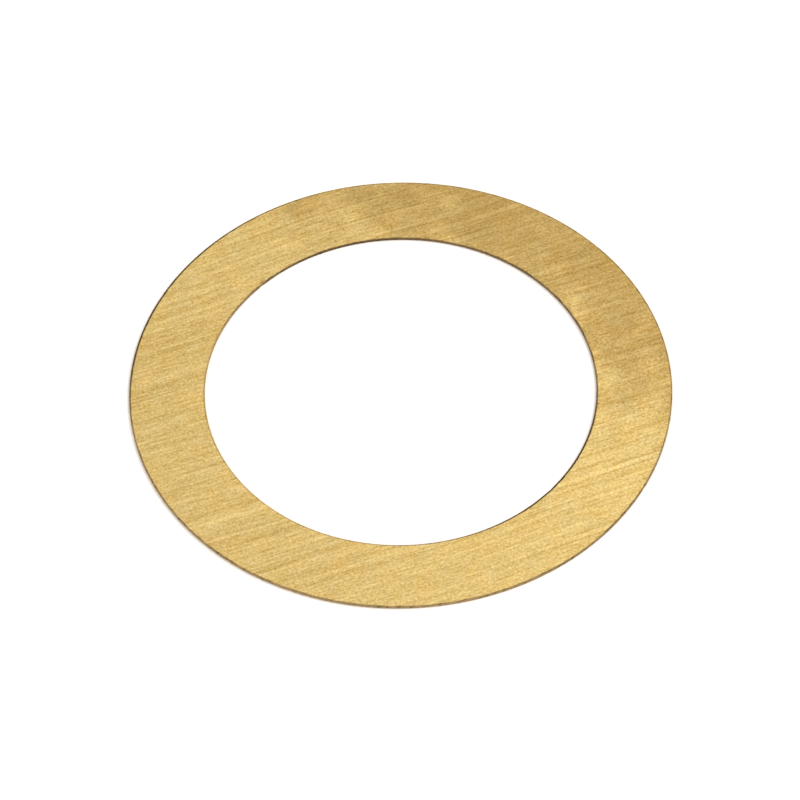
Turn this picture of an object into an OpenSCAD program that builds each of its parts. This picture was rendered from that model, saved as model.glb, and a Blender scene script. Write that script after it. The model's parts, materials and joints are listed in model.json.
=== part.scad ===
// Brass shim washer: a thin flat ring that takes up end play between a shaft's
// shoulder and a bearing, and is centred by the shaft, the housing or both.
//
// It is one piece, blanked from brushed strip in a compound die. The die cuts the
// bore and the rim in the same stroke, so the edges are rolled over on the top
// face and broken off square, with a small bevel, on the bottom face.
//
// Millimetres. The washer lies flat: Z is its axis, and Z = 0 is its bottom face.

/* [Shaft and housing] */
// Diameter of the shaft that the washer slides over
shaft_d = 30; // [10:0.5:36]
// Diameter of the housing bore that the washer drops into
housing_d = 42; // [38:0.5:60]
// Play between the shaft and the washer's bore, across the diameter
bore_clearance = 0.15; // [0.05:0.01:0.3]
// Play between the washer's rim and the housing, across the diameter
rim_clearance = 0.2; // [0.05:0.01:0.4]

/* [Strip] */
// Thickness of the brass strip, which is the thickness that the washer shims
thickness = 0.2; // [0.1:0.05:1]

/* [Blanked edges] */
// Radius that the die rolls onto both edges of the top face
roll_r = 0.06; // [0.02:0.01:0.07]
// Bevel on both edges of the bottom face, where tumbling takes the burr off
burr_bevel = 0.015; // [0.005:0.005:0.02]

/* [Hidden] */

bore_r = (shaft_d + bore_clearance) / 2;
rim_r = (housing_d - rim_clearance) / 2;
band_w = rim_r - bore_r;
// How far a cutter reaches past the edge that it cuts
overcut = 0.05;
brass = [0.86, 0.73, 0.45];
$fn = 240;

// What rolling takes off a square edge at the origin, for a section that fills
// the quarter to the left of X = 0 and below Y = 0.
module rolled_edge_cut(r) {
    difference() {
        translate([-r, -r]) square(r + overcut);
        translate([-r, -r]) circle(r);
    }
}

// What tumbling takes off the same edge: a straight bevel.
module bevelled_edge_cut(b) {
    reach = b + overcut;
    polygon([[-reach, overcut], [overcut, -reach], [overcut, overcut]]);
}

// Both cuts on the rim's side of the section, whose lower corner is at the origin
// and whose width runs to the left.
module edge_cuts() {
    translate([0, thickness]) rolled_edge_cut(roll_r);
    mirror([0, 1]) bevelled_edge_cut(burr_bevel);
}

// The ring's section, from the bore's wall to the rim's wall.
module section() {
    difference() {
        translate([bore_r, 0]) square([band_w, thickness]);
        translate([rim_r, 0]) edge_cuts();
        translate([bore_r, 0]) mirror([1, 0]) edge_cuts();
    }
}

module shim_washer() {
    color(brass) rotate_extrude() section();
}

shim_washer();
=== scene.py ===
# %% [markdown]
# # A brushed brass shim washer
#
# The object is one flat ring, stamped from brushed brass strip. It is only 0.2 mm thick, so nearly
# everything that the eye reads is finish: the straight brush lines that run across the whole ring, the
# tarnish on one side, and the thin dark line that the press leaves round both edges.
#
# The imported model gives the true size. This lesson builds the same ring again as a finer mesh, lays a map
# along the brush lines, makes the brass, and then sets a pale table, soft lights and a camera round it.

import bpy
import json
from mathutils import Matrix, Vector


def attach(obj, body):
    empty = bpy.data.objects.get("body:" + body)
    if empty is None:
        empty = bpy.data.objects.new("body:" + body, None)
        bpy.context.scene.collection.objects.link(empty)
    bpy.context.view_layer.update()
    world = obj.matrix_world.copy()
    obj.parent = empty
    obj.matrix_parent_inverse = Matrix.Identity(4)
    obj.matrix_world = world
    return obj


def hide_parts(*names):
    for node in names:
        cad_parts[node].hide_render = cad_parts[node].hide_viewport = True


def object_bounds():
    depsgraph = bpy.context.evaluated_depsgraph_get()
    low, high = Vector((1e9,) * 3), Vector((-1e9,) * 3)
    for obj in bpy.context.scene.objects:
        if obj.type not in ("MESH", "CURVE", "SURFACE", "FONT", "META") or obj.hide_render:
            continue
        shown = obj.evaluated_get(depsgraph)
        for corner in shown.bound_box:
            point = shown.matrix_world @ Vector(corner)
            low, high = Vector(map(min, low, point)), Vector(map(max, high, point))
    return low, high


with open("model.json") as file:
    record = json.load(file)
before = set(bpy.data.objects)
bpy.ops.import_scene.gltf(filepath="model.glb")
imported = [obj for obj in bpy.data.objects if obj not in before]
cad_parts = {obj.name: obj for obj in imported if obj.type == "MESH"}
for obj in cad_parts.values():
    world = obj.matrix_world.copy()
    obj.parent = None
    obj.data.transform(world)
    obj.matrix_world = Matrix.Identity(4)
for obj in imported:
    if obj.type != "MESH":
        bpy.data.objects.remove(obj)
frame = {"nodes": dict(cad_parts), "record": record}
cad_low, cad_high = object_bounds()
print("nodes in the frame:", sorted(frame["nodes"]))

# %% The other tools this lesson needs
import json
import math

import bpy
import numpy as np
from mathutils import Quaternion, Vector

MM = 0.001
scene = bpy.context.scene
print("one millimetre is", MM, "of Blender's units")

# %% [markdown]
# ## The ring's sizes
#
# A shim has to be the right size before it looks like anything. Its sizes could be typed in again here,
# but then the mesh could drift from the model, so every length comes from the frame. The record's two
# round mounts say where the straight walls of the bore and the rim are: their radius, the middle of the
# wall and its length. What is left above the wall is the rolled edge, and below it is the small bevel.

# %% Read the sizes
mounts = {mount["name"]: mount for mount in frame["record"]["mounts"]}


def wall_of(name):
    """A round wall's radius, and its lowest and highest point, in metres."""
    mount = mounts[name]
    middle = mount["pos_m"][2]
    half = mount["dims"]["length_mm"] * MM / 2
    return mount["dims"]["r_mm"] * MM, middle - half, middle + half


rim_r, wall_low, wall_high = wall_of("rim")
bore_r, _, _ = wall_of("bore")
thickness = cad_high.z - cad_low.z
roll_r = thickness - wall_high
bevel = wall_low
print(f"rim {rim_r / MM:.3f} mm, bore {bore_r / MM:.3f} mm, thickness {thickness / MM:.3f} mm")
print(f"rolled edge {roll_r / MM:.3f} mm, bevel {bevel / MM:.3f} mm")

# %% [markdown]
# ## The cut edge
#
# A press leaves four zones down each cut edge: the top edge is rolled over, then comes a smooth
# burnished land, then a rough zone where the metal tore and leans back a little, and last the bevel where
# the burr was tumbled off. A plain cylinder with a bore has none of them, and a bevel modifier gives only
# the same bevel everywhere. So the edge is drawn once, as a list of points from the top face
# down to the bottom face, and the rim and the bore both use it.

# %% Draw one cut edge
ROLL_STEPS = 5
LAND_STEPS = 2
TEAR_STEPS = 3
LAND_SHARE = 0.45  # of the wall's height is burnished, and the rest is torn
TEAR_LEAN = 0.008 * MM


def edge_points():
    """Points down one cut edge: (distance in from the wall, height)."""
    points = []
    for step in range(ROLL_STEPS + 1):
        turn = math.radians(90) * step / ROLL_STEPS
        points.append((roll_r * (1 - math.sin(turn)), wall_high + roll_r * math.cos(turn)))
    land_low = wall_high - LAND_SHARE * (wall_high - wall_low)
    for step in range(1, LAND_STEPS + 1):
        points.append((0.0, wall_high + (land_low - wall_high) * step / LAND_STEPS))
    for step in range(1, TEAR_STEPS + 1):
        share = step / TEAR_STEPS
        points.append((TEAR_LEAN * share, land_low + (wall_low - land_low) * share))
    points.append((TEAR_LEAN + bevel, 0.0))
    return points


edge = edge_points()
print("points down one edge:", len(edge))

# %% [markdown]
# ## The ring's section
#
# Cut the washer across and each side is a strip 5.8 mm wide and 0.2 mm high. Two cut edges and two flat
# faces close that section. The flat faces need points too, but only near their ends: that is where the
# wear will bend them, and where shading would smear over one long face. So the rows crowd towards the
# edges and leave the middle almost empty.

# %% Close the section
FACE_ROWS = [0.03, 0.07, 0.13, 0.25, 0.5, 1.0, 1.9]  # mm in from each end of a face


def face_rows(start, stop):
    """Radii between the two ends of a flat face, close together near both ends."""
    way = math.copysign(1, stop - start)
    near = [start + way * row * MM for row in FACE_ROWS]
    far = [stop - way * row * MM for row in reversed(FACE_ROWS)]
    return near + [(start + stop) / 2] + far


def ring_section():
    """The closed section, from the rim's top edge down, in along the bottom, up and back."""
    rim = [(rim_r - inward, height) for inward, height in edge]
    bore = [(bore_r + inward, height) for inward, height in reversed(edge)]
    bottom = [(r, 0.0) for r in face_rows(rim[-1][0], bore[0][0])]
    top = [(r, thickness) for r in face_rows(bore[-1][0], rim[0][0])]
    return np.array(rim + bottom + bore + top)


section = ring_section()
print("points round the section:", len(section))

# %% [markdown]
# ## Wear along the edges
#
# No stamped edge is a perfect circle. The tear leaves the wall up to a hundredth of a millimetre ragged,
# and knocks in the tray leave small nicks. A bump map could draw them, but an edge is seen as an outline,
# and only real geometry changes an outline. So the points themselves move. Everything is cut into the
# metal, so the washer still slides over its shaft and drops into its housing.

# %% Steps round the ring
TURNS = 1800
BRUSH_ANGLE = math.radians(20.5)  # the brush lines, round from +X
angles = BRUSH_ANGLE + np.arange(TURNS) * (2 * math.pi / TURNS)
print(f"a step along the rim is {2 * math.pi * rim_r / TURNS / MM:.3f} mm")

# %% A ragged line round the ring
WAVES = 90
dice = np.random.default_rng(30)


def ragged_line(longest, shortest):
    """A rough closed line round the ring: 0 to 1, with waves of these lengths in mm."""
    round_the_rim = 2 * math.pi * rim_r / MM
    counts = dice.integers(round_the_rim / longest, round_the_rim / shortest, WAVES)
    phases = dice.uniform(0, 2 * math.pi, WAVES)
    line = np.cos(angles[:, None] * counts + phases).sum(1)
    return (line - line.min()) / np.ptp(line)


print("waves in one ragged line:", WAVES)

# %% Choose the nicks
# which edge, degrees round from +X, half width in mm, depth in mm
NICKS = [
    ("bore", 135, 0.25, 0.045),
    ("bore", 128, 0.12, 0.025),
    ("bore", 63, 0.10, 0.020),
    ("bore", 318, 0.16, 0.030),
    ("bore", 212, 0.09, 0.016),
    ("rim", 191, 0.14, 0.030),
    ("rim", 331, 0.20, 0.035),
    ("rim", 312, 0.10, 0.022),
    ("rim", 152, 0.12, 0.025),
    ("rim", 84, 0.10, 0.020),
    ("rim", 21, 0.09, 0.018),
    ("rim", 246, 0.12, 0.022),
]


def nick_line(side, radius):
    """How deep the nicks on one edge are at each step round it, in metres."""
    nick_depth_and_edge_shade = np.zeros(TURNS)
    for where, azimuth, half_width, depth in NICKS:
        if where == side:
            apart = (angles - math.radians(azimuth) + math.pi) % (2 * math.pi) - math.pi
            spread = apart * radius / (half_width * MM)
            nick_depth_and_edge_shade = np.maximum(nick_depth_and_edge_shade, depth * MM * np.exp(-spread**2))
    return nick_depth_and_edge_shade


print(f"deepest nick {nick_line('bore', bore_r).max() / MM:.3f} mm")

# %% Work out how far each point moves
RAGGED = 0.007 * MM
TORN_SHARE = 0.8  # the torn zone is this much rougher again
FADE = 0.10 * MM  # how far into a face the wear reaches
# the longest and shortest waves of each kind of roughness, in mm
ROLLING = (4, 0.5)
CHATTER = (0.6, 0.2)
TEARING = (0.4, 0.15)
LOW_NICK = 0.3  # how deep a nick is at the bottom face, as a share of its depth at the top
NICK_SINK = 0.5  # how far the top face sinks at a nick, as a share of the nick's depth


def worn_side(side, radius, inward):
    """Moves of the points near one wall: towards the band's middle, and down."""
    depth_in = (section[:, 0] - radius) * inward
    height = section[:, 1]
    near = np.exp(-((depth_in / FADE) ** 2))
    high = np.clip(height / thickness, 0, 1)
    low = (height < wall_high) & (depth_in < roll_r)
    rough = RAGGED * (ragged_line(*ROLLING) + ragged_line(*CHATTER)) / 2
    torn = RAGGED * ragged_line(*TEARING) * TORN_SHARE
    nicks = nick_line(side, radius)
    cut = nicks[:, None] * (LOW_NICK + (1 - LOW_NICK) * high)
    push = near * (rough[:, None] + torn[:, None] * low + cut)
    sink = near * nicks[:, None] * NICK_SINK * (height > thickness / 2)
    return push * inward, sink


rim_push, rim_sink = worn_side("rim", rim_r, -1)
bore_push, bore_sink = worn_side("bore", bore_r, 1)
print(f"deepest wear {abs(rim_push + bore_push).max() / MM:.3f} mm")

# %% [markdown]
# ## The mesh
#
# Turning the section round the axis could be done with a Screw modifier, but every step round this ring
# has its own worn section, so the points are worked out as one array and joined. Four-sided faces
# run round the ring and round the section, and both directions close on themselves. That makes a
# watertight skin with no seam.

# %% Sweep the worn section into a skin
radii = section[:, 0] + rim_push + bore_push
heights = section[:, 1] - rim_sink - bore_sink


def ring_mesh(name):
    """Joins the swept sections into one closed skin of four-sided faces."""
    right = np.cos(angles)[:, None] * radii
    back = np.sin(angles)[:, None] * radii
    points = np.stack([right, back, heights], -1).reshape(-1, 3)
    count = len(section)
    step, spot = np.meshgrid(np.arange(TURNS), np.arange(count), indexing="ij")
    here = step * count
    onward = ((step + 1) % TURNS) * count
    after = (spot + 1) % count
    faces = np.stack([here + spot, here + after, onward + after, onward + spot], -1).reshape(-1, 4)
    made = bpy.data.meshes.new(name)
    made.from_pydata(points.tolist(), [], faces.tolist())
    made.update()
    return made


mesh = ring_mesh("brass_ring")
mesh.shade_smooth()
washer = bpy.data.objects.new("brass_ring", mesh)
scene.collection.objects.link(washer)
print("faces:", len(mesh.polygons), "edges:", len(mesh.edges), "points:", len(mesh.vertices))

# %% [markdown]
# ## A map along the brush lines
#
# A brushed surface shines in streaks across its lines, so the shader has to know which way the lines run.
# A map does that job: its first axis runs across the lines. The same map can carry the finish when the
# model goes to another program, so it should waste little room and hardly stretch.
#
# Blender's own unwrapping would turn the ring as it liked, so the map is worked out instead. The ring is
# cut into four quarter arcs on each face, along and across the brush lines. Mirroring lays all eight the
# same way round without turning the lines. Two arcs nest in each quarter of the map, and each wall is
# folded out flat, half with the top face and half with the bottom face.

# %% Lay out the map
FOLD_STRETCH = 1.5  # the walls are drawn this much larger than the faces
MAP_GAP = 0.16 * MM
NEST = 5.62 * MM  # how far the top's arc is shifted from the bottom's


def draw_map(mesh):
    """Writes the map, one corner of a face at a time, as arrays, and gives its side in metres."""
    corners = np.empty(len(mesh.loops), np.int32)
    mesh.loops.foreach_get("vertex_index", corners)
    turn, spot = np.divmod(corners.reshape(-1, 4), len(section))
    # The sweep starts on a brush line, so each quarter is a whole number of steps.
    quarter = turn[:, :1] // (TURNS // 4)
    height = section[spot, 1]
    is_top = height.mean(1, keepdims=True) > thickness / 2
    # A wall folds out past the edge of its face, so its radius in the map grows or shrinks.
    outward = np.where(section[spot, 0] > (rim_r + bore_r) / 2, 1, -1)
    drop = np.where(is_top, thickness - height, height)
    radius = section[spot, 0] + outward * drop * FOLD_STRETCH
    along = np.abs(radius * np.cos(angles[turn] - BRUSH_ANGLE))
    across = np.abs(radius * np.sin(angles[turn] - BRUSH_ANGLE))
    cell = rim_r + thickness / 2 * FOLD_STRETCH + NEST + 2 * MAP_GAP
    shift = MAP_GAP + is_top * NEST
    u = (across + shift + (quarter % 2) * cell) / (2 * cell)
    v = (along + shift + (quarter // 2) * cell) / (2 * cell)
    layer = mesh.uv_layers.new(name="OFBake")
    layer.uv.foreach_set("vector", np.stack([u, v], -1).astype(np.float32).ravel())
    return 2 * cell


map_side = draw_map(mesh)
print(f"the map is {map_side / MM:.1f} mm across")

# %% [markdown]
# ## Helpers for nodes
#
# The finish is all nodes, with no pictures, so it stays sharp at any distance. Placing nodes by hand in
# the editor is the usual way to learn, but a script has to say each link. These small helpers keep every
# later step to one short line: a value that is another node's output is linked, and any other is set.

# %% Link or set
def feed(tree, socket, value):
    """Links an output into a socket, or sets the socket to a plain value."""
    if isinstance(value, bpy.types.NodeSocket):
        tree.links.new(value, socket)
    elif value is not None:
        socket.default_value = value


def add(tree, kind, **values):
    """Adds a node and feeds its sockets by name; _ stands for a space."""
    made = tree.nodes.new("ShaderNode" + kind)
    for name, value in values.items():
        feed(tree, made.inputs[name.replace("_", " ")], value)
    return made


print("helpers: feed, add")

# %% Sums on numbers and on places
def maths(tree, what, *values, clamp=False):
    """One Math node's result."""
    made = tree.nodes.new("ShaderNodeMath")
    made.operation = what
    made.use_clamp = clamp
    for socket, value in zip(made.inputs, values):
        feed(tree, socket, value)
    return made.outputs[0]


def vector_maths(tree, what, first, second=None, scale=None):
    """One Vector Math node's result: a length, a distance and a dot product come out as a number."""
    made = tree.nodes.new("ShaderNodeVectorMath")
    made.operation = what
    feed(tree, made.inputs[0], first)
    feed(tree, made.inputs[1], second)
    feed(tree, made.inputs[3], scale)
    is_number = what in ("LENGTH", "DISTANCE", "DOT_PRODUCT")
    return made.outputs["Value"] if is_number else made.outputs["Vector"]


print("helpers: maths, vector_maths")

# %% Blends and smooth steps
def blend_colour(tree, how, amount, first, second):
    """Two colours through a Mix node."""
    made = tree.nodes.new("ShaderNodeMix")
    made.data_type = "RGBA"
    made.blend_type = how
    feed(tree, made.inputs[0], amount)
    feed(tree, made.inputs[6], first)
    feed(tree, made.inputs[7], second)
    return made.outputs[2]


def ease(tree, value, low, high, to_low=0.0, to_high=1.0):
    """A smooth step from to_low to to_high as value goes from low to high."""
    made = tree.nodes.new("ShaderNodeMapRange")
    made.interpolation_type = "SMOOTHSTEP"
    for socket, number in zip(made.inputs, (value, low, high, to_low, to_high)):
        feed(tree, socket, number)
    return made.outputs[0]


def centred(tree, value, strength):
    """A layer about 0.5 turned into one about 0 with this strength."""
    return maths(tree, "MULTIPLY", maths(tree, "SUBTRACT", value, 0.5), strength)


print("helpers: blend_colour, ease, centred")

# %% Colours and directions
def linear(red, green, blue):
    """A colour in 0 to 255 screen levels as the linear colour that nodes need."""
    levels = [level / 255 for level in (red, green, blue)]
    return (*[c / 12.92 if c <= 0.04045 else ((c + 0.055) / 1.055) ** 2.4 for c in levels], 1.0)


def facing(azimuth):
    """A level direction from a compass angle."""
    turn = math.radians(azimuth)
    return (math.cos(turn), math.sin(turn), 0.0)


print("mid grey on a screen is", round(linear(128, 128, 128)[0], 3), "to a node")

# %% [markdown]
# ## Where a point is
#
# Brushing doesn't follow the ring: the strip was brushed first and the washer was cut out of it after, so
# the lines run straight across. The dark edges do follow the ring. So the finish needs two kinds of
# place: one turned to lie along the brush lines, and one that measures in from the bore and the rim.
# Object coordinates give both, in millimetres, and they stay put when the part is moved.

# %% Start the material and measure on the ring
brass = bpy.data.materials.new("brushed_brass")
brass.use_nodes = True
tree = brass.node_tree
shader = tree.nodes["Principled BSDF"]

here = add(tree, "TexCoord").outputs["Object"]
in_mm = vector_maths(tree, "SCALE", here, scale=1 / MM)
flat = vector_maths(tree, "MULTIPLY", in_mm, (1, 1, 0))
from_axis = vector_maths(tree, "LENGTH", flat)
from_bore = maths(tree, "SUBTRACT", from_axis, bore_r / MM)
from_rim = maths(tree, "SUBTRACT", rim_r / MM, from_axis)
from_edge = maths(tree, "MINIMUM", from_bore, from_rim)
nearer_bore = maths(tree, "LESS_THAN", from_bore, from_rim)
print("nodes so far:", len(tree.nodes))

# %% Clouds at any size
def noise(waves, detail=2.0, rough=0.5, where=in_mm):
    """Cloudy noise about 0.5, with so many waves in a mm."""
    made = add(tree, "TexNoise", Vector=where, Scale=waves, Detail=detail, Roughness=rough)
    return made.outputs[0]


print("helper: noise")

# %% Turn to the brush lines
SWAY = 2.4  # mm, how far the brush lines wander from straight
SWAY_WAVES = 0.035  # a mm

turned = add(tree, "Mapping", Vector=in_mm, Rotation=(0, 0, -BRUSH_ANGLE)).outputs[0]
aside = centred(tree, noise(SWAY_WAVES, detail=1.0), SWAY)
aside = add(tree, "CombineXYZ", Y=aside).outputs[0]
grain = vector_maths(tree, "ADD", turned, aside)
print("nodes so far:", len(tree.nodes))

# %% [markdown]
# ## The brush lines
#
# An abrasive belt leaves thousands of fine scratches, some long and even, most short and broken. Drawing
# each one would be endless. Noise that is squeezed across the lines and stretched along them looks the
# same, and several layers with different stretches give the mix of long and short that one layer lacks.
# The layers add up to one number about 0, which later drives the colour, the roughness and the bump.

# %% Add up the layers of lines
LAYERS = [
    # waves a mm along, waves a mm across, strength
    (0.70, 1.6, 0.55),
    (0.02, 1.5, 0.40),
    (0.03, 4.6, 0.90),
    (0.12, 5.4, 0.60),
    (0.50, 6.0, 0.60),
    (2.00, 6.0, 0.60),
    (5.00, 5.2, 1.70),
]


def lines(along, across, detail=2.0, rough=0.6, up=40.0):
    """Noise stretched along the grain: so many waves in a mm along it, across it and up."""
    squeezed = vector_maths(tree, "MULTIPLY", grain, (along, across, up))
    return noise(1.0, detail, rough, where=squeezed)


brushing = None
for along, across, strength in LAYERS:
    layer = centred(tree, lines(along, across), strength)
    brushing = layer if brushing is None else maths(tree, "ADD", brushing, layer)
print("layers of lines:", len(LAYERS), "nodes so far:", len(tree.nodes))

# %% Add the odd brighter and darker line
STRAY = (0.05, 3.4)  # waves a mm along and across
STRAY_BRIGHT = 0.12
STRAY_DARK = -0.10

stray = lines(*STRAY, detail=1.0, up=25.0)
bright = ease(tree, stray, 0.62, 0.70, 0.0, STRAY_BRIGHT)
dark = ease(tree, stray, 0.30, 0.38, STRAY_DARK, 0.0)
brushing = maths(tree, "ADD", brushing, maths(tree, "ADD", bright, dark))
print("nodes so far:", len(tree.nodes))

# %% [markdown]
# ## The tarnish, and a painted shade
#
# Brass goes dull and brown where fingers and damp air reach it. On this washer one side is plainly duller,
# small specks sit in the dull part, and tiny pits hold dirt all over. A painted shade also darkens the face
# a little towards another side, and it rides in the same mask. A painted mask would do, but a mask made of
# a lean to one side plus cloudy noise has the same soft, broken border, and it needs no picture. It gives 0
# on clean, unshaded brass and 1 where the metal is dullest.

# %% The dull side, and a painted shade towards another side
DULL_SIDE = 50  # every side is in degrees round from +X
DULL_MOST = 0.88
DULL_STEP = (0.25, 0.9)  # where the dull side starts, and where it is fully dull
CLOUDY = 1.3  # how much the clouds break the dull side's border
# painted shade: the face darkens smoothly towards this side, by this much at most
SHADE_GRADIENT_SIDE = 185
SHADE_GRADIENT_MOST = 0.20


def leaning(azimuth):
    """A lean to one side: 1 at the rim this way from the axis, 0 on the axis, -1 opposite."""
    lean = vector_maths(tree, "DOT_PRODUCT", in_mm, facing(azimuth))
    return maths(tree, "MULTIPLY", lean, MM / rim_r)


clouds = centred(tree, noise(0.2, detail=4.0, rough=0.62), CLOUDY)
patch = ease(tree, maths(tree, "ADD", leaning(DULL_SIDE), clouds), *DULL_STEP)
shade_gradient = ease(tree, leaning(SHADE_GRADIENT_SIDE), -0.9, 0.9, 0.0, SHADE_GRADIENT_MOST)
# the painted shade joins the tarnish mask, so it darkens the colour and adds a little roughness
tarnish_and_shade = maths(tree, "ADD", maths(tree, "MULTIPLY", patch, DULL_MOST), shade_gradient)
print("nodes so far:", len(tree.nodes))

# %% Specks in the dull part, and pits all over
SPECK_MOST = 0.6
PIT_MOST = 0.9
PITS_WHERE_CLEAN = 0.35

specks = ease(tree, lines(1.8, 3.6, detail=3.0, rough=0.7), 0.56, 0.68)
specks = maths(tree, "MULTIPLY", specks, maths(tree, "MULTIPLY", patch, SPECK_MOST))
pits = ease(tree, lines(2.2, 4.0, detail=1.0), 0.62, 0.70, 0.0, PIT_MOST)
pits = maths(tree, "MULTIPLY", pits, maths(tree, "ADD", patch, PITS_WHERE_CLEAN))
specks = maths(tree, "ADD", specks, pits)
print("nodes so far:", len(tree.nodes))

# %% Two burnt marks
# degrees round from +X, radius in metres, and reach in mm
BURNT = [(134, bore_r + 0.12 * MM, 0.42), (333, rim_r - 0.25 * MM, 0.34)]
BURNT_CORE = 0.3  # of the reach is fully burnt
BURNT_RAGGED = 0.5  # mm

ragged = noise(2.6, detail=4.0, rough=0.75)
for azimuth, radius, reach in BURNT:
    spot = vector_maths(tree, "SCALE", facing(azimuth), scale=radius / MM)
    away = vector_maths(tree, "DISTANCE", in_mm, spot)
    away = maths(tree, "ADD", away, centred(tree, ragged, BURNT_RAGGED))
    specks = maths(tree, "ADD", specks, ease(tree, away, reach * BURNT_CORE, reach, 1.0, 0.0))
tarnish_and_shade = maths(tree, "ADD", tarnish_and_shade, specks, clamp=True)
print("burnt marks:", len(BURNT), "nodes so far:", len(tree.nodes))

# %% [markdown]
# ## The colour of the face
#
# Clean brass is never one colour: the scratches throw light and dark lines, and the thinnest film of oxide
# turns one spot a little warm and the next a little cool. The lines blend between a dark and a bright
# brass. A second, cloudy noise then shifts the hue and hardly changes the brightness, which is what keeps
# the metal from looking like one flat paint.

# %% Light and dark lines, warm and cool spots, tarnish and painted shade
DARK_LINE = (199, 165, 86)
BRIGHT_LINE = (252, 228, 161)
WARM_TINT = (1.04, 0.985, 0.86, 1.0)
COOL_TINT = (0.96, 1.015, 1.14, 1.0)
TINT_CONTRAST = 2.3
# darkens the brass wherever the mask says, for real tarnish and for the painted shade alike
TARNISH_AND_SHADE_TINT = (0.64, 0.58, 0.50, 1.0)

tone = maths(tree, "ADD", brushing, 0.5, clamp=True)
face_colour = blend_colour(tree, "MIX", tone, linear(*DARK_LINE), linear(*BRIGHT_LINE))
oxide = centred(tree, noise(0.5, detail=5.0, rough=0.85), TINT_CONTRAST)
oxide = maths(tree, "ADD", oxide, 0.5, clamp=True)
hue = blend_colour(tree, "MIX", oxide, WARM_TINT, COOL_TINT)
face_colour = blend_colour(tree, "MULTIPLY", 1.0, face_colour, hue)
face_colour = blend_colour(tree, "MULTIPLY", tarnish_and_shade, face_colour, TARNISH_AND_SHADE_TINT)
print("nodes so far:", len(tree.nodes))

# %% [markdown]
# ## The dark line round each edge
#
# The press smears the brush lines where it rolls the edge, and dirt stays there, so a thin dark line runs
# round both edges. It is what tells the eye that the sheet has a thickness at all. The line follows the
# distance in from the nearest edge, with some noise so that it is never even. Painted shade makes each
# line wider and darker where its edge faces away from the light: the rim's at the back left, and the
# bore's at the front right. Painted light makes the bore's line fainter where its edge faces the key light.

# %% Find where each edge faces away from the light, for the painted shade
# painted shade: the places round the rim and the bore, in degrees, where the edge faces away from the light
RIM_SHADED_SIDE = 149
BORE_SHADED_SIDE = 323
EDGE_SHADE_STEP = (0.72, 1.0)  # where the painted shade starts, and where it is darkest
EDGE_SHADE_RAGGED = 0.5


def towards(azimuth):
    """1 where the ring lies this way from its axis, 0 a quarter round, and -1 opposite."""
    return maths(tree, "DIVIDE", vector_maths(tree, "DOT_PRODUCT", in_mm, facing(azimuth)), from_axis)


stain = noise(1.1, detail=3.0, rough=0.7)
# painted shade mask: 1 where an edge faces away from the light, 0 elsewhere
rim_shaded = towards(RIM_SHADED_SIDE)
bore_shaded = towards(BORE_SHADED_SIDE)
towards_shade = maths(tree, "MULTIPLY", nearer_bore, maths(tree, "SUBTRACT", bore_shaded, rim_shaded))
towards_shade = maths(tree, "ADD", rim_shaded, towards_shade)
nick_depth_and_edge_shade = ease(tree, maths(tree, "ADD", towards_shade, centred(tree, stain, EDGE_SHADE_RAGGED)), *EDGE_SHADE_STEP)
print("nodes so far:", len(tree.nodes))

# %% How dark the line is
LINE_REACH = (0.07, 0.16)  # mm in from the edge: fully dark, and clean
LINE_RAGGED = 0.14  # mm
# painted shade: the line is this much wider where its edge faces away from the light
EDGE_SHADE_WIDER = 0.05  # mm
# painted light: the bore's line is this much paler on this side, where its edge faces the key light
BORE_LIT_SIDE = 205
BORE_LIT_MOST = 0.32

line_at = maths(tree, "ADD", from_edge, centred(tree, ragged, LINE_RAGGED))
line_at = maths(tree, "SUBTRACT", line_at, maths(tree, "MULTIPLY", nick_depth_and_edge_shade, EDGE_SHADE_WIDER))
darkness = ease(tree, line_at, *LINE_REACH, 1.0, 0.0)
# painted light: fade the bore's line where its edge faces the key light
bore_lit_fade = ease(tree, towards(BORE_LIT_SIDE), 0.2, 1.0, 0.0, BORE_LIT_MOST)
bore_lit_fade = maths(tree, "MULTIPLY", bore_lit_fade, nearer_bore)
darkness = maths(tree, "MULTIPLY", darkness, maths(tree, "SUBTRACT", 1.0, bore_lit_fade))
print("nodes so far:", len(tree.nodes))

# %% The colour of the line
LINE_LOW = (88, 70, 40)
LINE_HIGH = (152, 128, 84)

paler = ease(tree, stain, 0.35, 0.65)
line_colour = blend_colour(tree, "MIX", paler, linear(*LINE_LOW), linear(*LINE_HIGH))
print("nodes so far:", len(tree.nodes))

# %% [markdown]
# ## The cut walls
#
# The walls are bare sheared metal that has browned, with upright marks where the tear is deeper, and they
# are darker in two places. They could have a material of their own, but then a hard seam would run round
# each edge.
# Here the same finish turns into the wall's colour over a few hundredths of a millimetre. The bore's wall
# is the browner of the two.

# %% Bare metal and its marks
RIM_CUT = (162, 137, 95)
BORE_CUT = (117, 95, 63)
CUT_MARK = (50, 38, 22)
MARK_WAVES = (3.2, 3.2, 0.8)  # a mm, few of them upwards
MARK_MOST = 0.85

cut_colour = blend_colour(tree, "MIX", nearer_bore, linear(*RIM_CUT), linear(*BORE_CUT))
upright = vector_maths(tree, "MULTIPLY", in_mm, MARK_WAVES)
marks = noise(1.0, detail=3.0, rough=0.65, where=upright)
marks = ease(tree, marks, 0.45, 0.8, 0.0, MARK_MOST)
print("nodes so far:", len(tree.nodes))

# %% Darker in two places
# degrees round from +X, 1 in the bore or 0 on the rim, how black
DARKER_PLACES = [(108, 1, 0.45), (322, 0, 0.35)]
DARKER_PLACE_STEP = (0.86, 0.99)  # where a patch starts, and where it is blackest
DARKER_PLACE_RAGGED = 0.25

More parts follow.
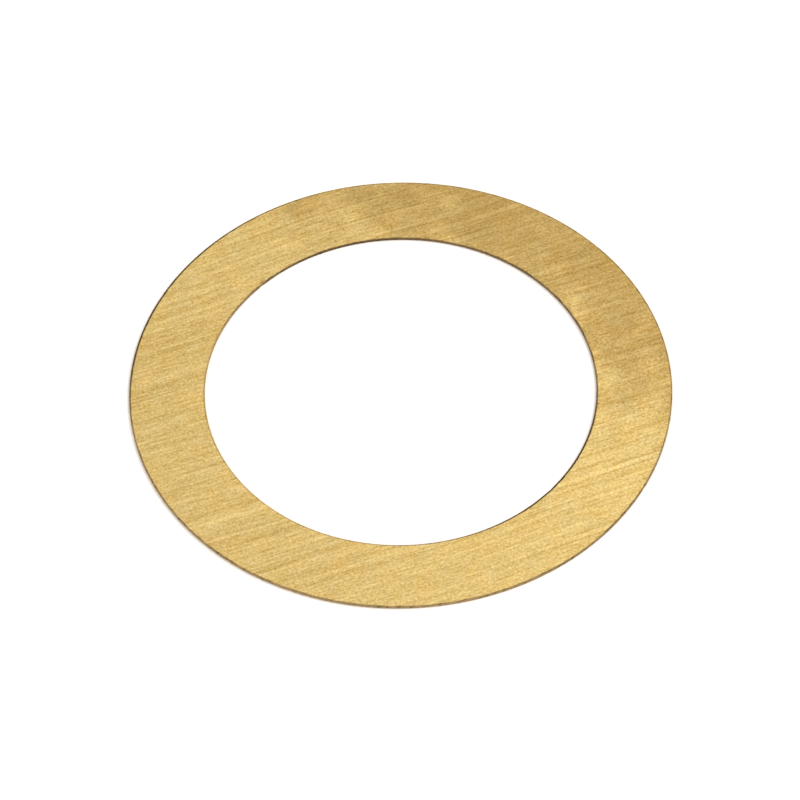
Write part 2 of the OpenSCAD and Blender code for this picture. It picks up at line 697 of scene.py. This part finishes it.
for azimuth, in_bore, most in DARKER_PLACES:
    darkening = maths(tree, "ADD", towards(azimuth), centred(tree, stain, DARKER_PLACE_RAGGED))
    darkening = ease(tree, darkening, *DARKER_PLACE_STEP, 0.0, most)
    this_wall = maths(tree, "COMPARE", nearer_bore, in_bore, 0.5)
    marks = maths(tree, "ADD", marks, maths(tree, "MULTIPLY", darkening, this_wall), clamp=True)
cut_colour = blend_colour(tree, "MIX", marks, cut_colour, linear(*CUT_MARK))
print("patches of grime:", len(DARKER_PLACES), "nodes so far:", len(tree.nodes))

# %% Turn the line into the wall at the very edge
CUT_REACH = (0.015, 0.06)  # mm in from the edge: all wall, and all line
# painted shade: the tint that darkens the edge where it faces away from the light
EDGE_SHADE_TINT = (0.26, 0.23, 0.16, 1.0)

is_cut = ease(tree, from_edge, *CUT_REACH, 1.0, 0.0)
edge_colour = blend_colour(tree, "MIX", is_cut, line_colour, cut_colour)
# painted shade: darken the edge where it faces away from the light
edge_colour = blend_colour(tree, "MULTIPLY", nick_depth_and_edge_shade, edge_colour, EDGE_SHADE_TINT)
print("nodes so far:", len(tree.nodes))

# %% [markdown]
# ## Gloss
#
# The colour alone would look like printed card. Three things make it metal. The roughness is middling and
# changes with the lines and the tarnish. A bump a few thousandths of a millimetre high catches the light
# on each line. And the highlight is stretched across the lines, as on any brushed metal, which the
# Anisotropic value does with the direction that the map gives. The dark line is dirt and oxide, so the
# metal fades out there, and a glancing view doesn't turn the edge white.

# %% Feed the colour and the roughness
ROUGH = 0.43
ROUGH_LINES = 0.10
ROUGH_TARNISH = 0.08
ROUGH_EDGE = 0.16

colour = blend_colour(tree, "MIX", darkness, face_colour, edge_colour)
feed(tree, shader.inputs["Base Color"], colour)

rough = maths(tree, "ADD", maths(tree, "MULTIPLY", brushing, ROUGH_LINES), ROUGH)
rough = maths(tree, "ADD", rough, maths(tree, "MULTIPLY", tarnish_and_shade, ROUGH_TARNISH))
rough = maths(tree, "ADD", rough, maths(tree, "MULTIPLY", darkness, ROUGH_EDGE), clamp=True)
feed(tree, shader.inputs["Roughness"], rough)
print("nodes so far:", len(tree.nodes))

# %% Feed the bump and the metal
BUMP_DEPTH = 0.005 * MM

bump = add(tree, "Bump", Height=brushing, Distance=BUMP_DEPTH, Strength=1.0)
feed(tree, shader.inputs["Normal"], bump.outputs[0])
feed(tree, shader.inputs["Metallic"], maths(tree, "SUBTRACT", 1.0, darkness))
print("nodes so far:", len(tree.nodes))

# %% Stretch the highlight across the lines
EDGE_GLINT = 0.1  # of the dark line, where the metal fades out
STREAK = 0.6

shader.inputs["Specular IOR Level"].default_value = EDGE_GLINT
shader.inputs["Anisotropic"].default_value = STREAK
across_lines = add(tree, "Tangent")
across_lines.direction_type = "UV_MAP"
across_lines.uv_map = "OFBake"
feed(tree, shader.inputs["Tangent"], across_lines.outputs[0])

mesh.materials.append(brass)
print("nodes in the finish:", len(tree.nodes))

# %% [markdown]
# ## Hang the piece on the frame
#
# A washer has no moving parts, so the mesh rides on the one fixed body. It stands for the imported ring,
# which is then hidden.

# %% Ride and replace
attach(washer, "root")
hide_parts("shim_washer")
print("hung on the frame:", washer.name)

# %% [markdown]
# ## The table
#
# The washer lies on a plain pale sheet. The sheet is much larger than the washer, so its far edge shows
# only from almost level with it. It is matt with a faint tooth, so it takes a soft shadow and gives no
# clear reflection.

# %% Make the table
TABLE_SIDE = 6.0


def pale_table():
    """A wide flat sheet just under the washer."""
    half = TABLE_SIDE / 2
    corners = [(-half, -half), (half, -half), (half, half), (-half, half)]
    sheet = bpy.data.meshes.new("table")
    sheet.from_pydata([(x, y, cad_low.z) for x, y in corners], [], [(0, 1, 2, 3)])
    made = bpy.data.objects.new("floor_table", sheet)
    scene.collection.objects.link(made)
    return made


table = pale_table()
print(f"the table is {TABLE_SIDE:.0f} m across, at a height of {cad_low.z / MM:.3f} mm")

# %% Give the table its finish
TABLE_LOW = (0.90, 0.86, 0.83, 1.0)
TABLE_HIGH = (0.94, 0.90, 0.87, 1.0)
TOOTH = 900.0  # waves a metre
TABLE_ROUGH = 0.8
TABLE_GLINT = 0.2


def pale_finish():
    """Matt off-white with a faint tooth."""
    made = bpy.data.materials.new("pale_table")
    made.use_nodes = True
    nodes = made.node_tree
    place = add(nodes, "TexCoord").outputs["Object"]
    tooth = add(nodes, "TexNoise", Vector=place, Scale=TOOTH, Detail=3.0).outputs[0]
    matt = nodes.nodes["Principled BSDF"]
    feed(nodes, matt.inputs["Base Color"], blend_colour(nodes, "MIX", tooth, TABLE_LOW, TABLE_HIGH))
    matt.inputs["Roughness"].default_value = TABLE_ROUGH
    matt.inputs["Specular IOR Level"].default_value = TABLE_GLINT
    return made


table.data.materials.append(pale_finish())
print("the table's finish:", table.data.materials[0].name)

# %% [markdown]
# ## The lights
#
# Flat bright metal looks black under one small lamp, because it mirrors the dark room. It needs something
# large and pale to mirror. So the key is a big soft panel high on the right, a weak one opposite it fills,
# and the room itself is pale and a little warm. One wall of the room is dark, low down at the back left:
# the edges that face it go dark, which helps the thin line round the ring to show.

# %% Set up the two panels
PANEL_SIDE = 0.5
PANEL_DISTANCE = 0.9


def soft_panel(name, azimuth, elevation, watts):
    """A square lamp that faces the washer from a compass angle and a height, in degrees."""
    rise = math.radians(elevation)
    level = Vector(facing(azimuth))
    out = level * math.cos(rise) + Vector((0, 0, math.sin(rise)))
    lamp = bpy.data.lights.new(name, "AREA")
    lamp.shape = "SQUARE"
    lamp.size = PANEL_SIDE
    lamp.energy = watts
    made = bpy.data.objects.new(name, lamp)
    made.location = out * PANEL_DISTANCE
    made.rotation_mode = "QUATERNION"
    made.rotation_quaternion = (-out).to_track_quat("-Z", "Y")
    scene.collection.objects.link(made)
    return made


key = soft_panel("key_panel", azimuth=20, elevation=45, watts=4.4)
fill = soft_panel("fill_panel", azimuth=205, elevation=50, watts=0.6)
print(f"key {key.data.energy:.1f} W, fill {fill.data.energy:.1f} W")

# %% Paint the room
ROOM_WHITE = (1.0, 0.965, 0.92, 1.0)
DARK_WALL = (0.45, 0.95)  # where the dark wall starts, and where it is darkest


def pale_room(level_high, level_low, dark_azimuth):
    """The room: pale and warm all round, with one dark wall low down on one side."""
    world = bpy.data.worlds.new("room")
    world.use_nodes = True
    nodes = world.node_tree
    way = add(nodes, "TexCoord").outputs["Generated"]
    wall = vector_maths(nodes, "DOT_PRODUCT", way, facing(dark_azimuth))
    level = ease(nodes, wall, *DARK_WALL, level_high, level_low)
    background = nodes.nodes["Background"]
    background.inputs["Color"].default_value = ROOM_WHITE
    feed(nodes, background.inputs["Strength"], level)
    return world


scene.world = pale_room(level_high=1.02, level_low=0.1, dark_azimuth=140)
scene.view_settings.view_transform = "Standard"
print("the room is", scene.world.name)

# %% [markdown]
# ## The camera
#
# A small flat part is best seen from a good way back through a long lens, because from close by its near
# side bulges. A circle seen at a slant is an ellipse, and its height over its width gives the angle to
# look down at: here 51.5 degrees. The camera looks along +Y and is tilted by about one degree, as a
# hand-set one is.

# %% Set the camera
VIEW_ELEVATION = math.radians(51.52)
VIEW_ROLL = math.radians(-1.30)
VIEW_DISTANCE = 20.747 * rim_r
AIM = Vector((-0.0033, -0.0473, 0.0)) * rim_r
LENS = 253.8  # mm
SENSOR_WIDTH = 36.0  # mm


def set_camera():
    """Looks down at the washer from the front, with the whole ring in the frame."""
    data = bpy.data.cameras.new("camera")
    data.sensor_width = SENSOR_WIDTH
    data.lens = LENS
    data.clip_start = 0.01
    data.clip_end = 20.0
    made = bpy.data.objects.new("camera", data)
    look = Vector((0, math.cos(VIEW_ELEVATION), -math.sin(VIEW_ELEVATION)))
    made.location = AIM - look * VIEW_DISTANCE
    made.rotation_mode = "QUATERNION"
    made.rotation_quaternion = look.to_track_quat("-Z", "Y") @ Quaternion((0, 0, 1), VIEW_ROLL)
    scene.collection.objects.link(made)
    return made


scene.camera = set_camera()
print(f"the camera is {VIEW_DISTANCE / MM:.0f} mm from the washer")
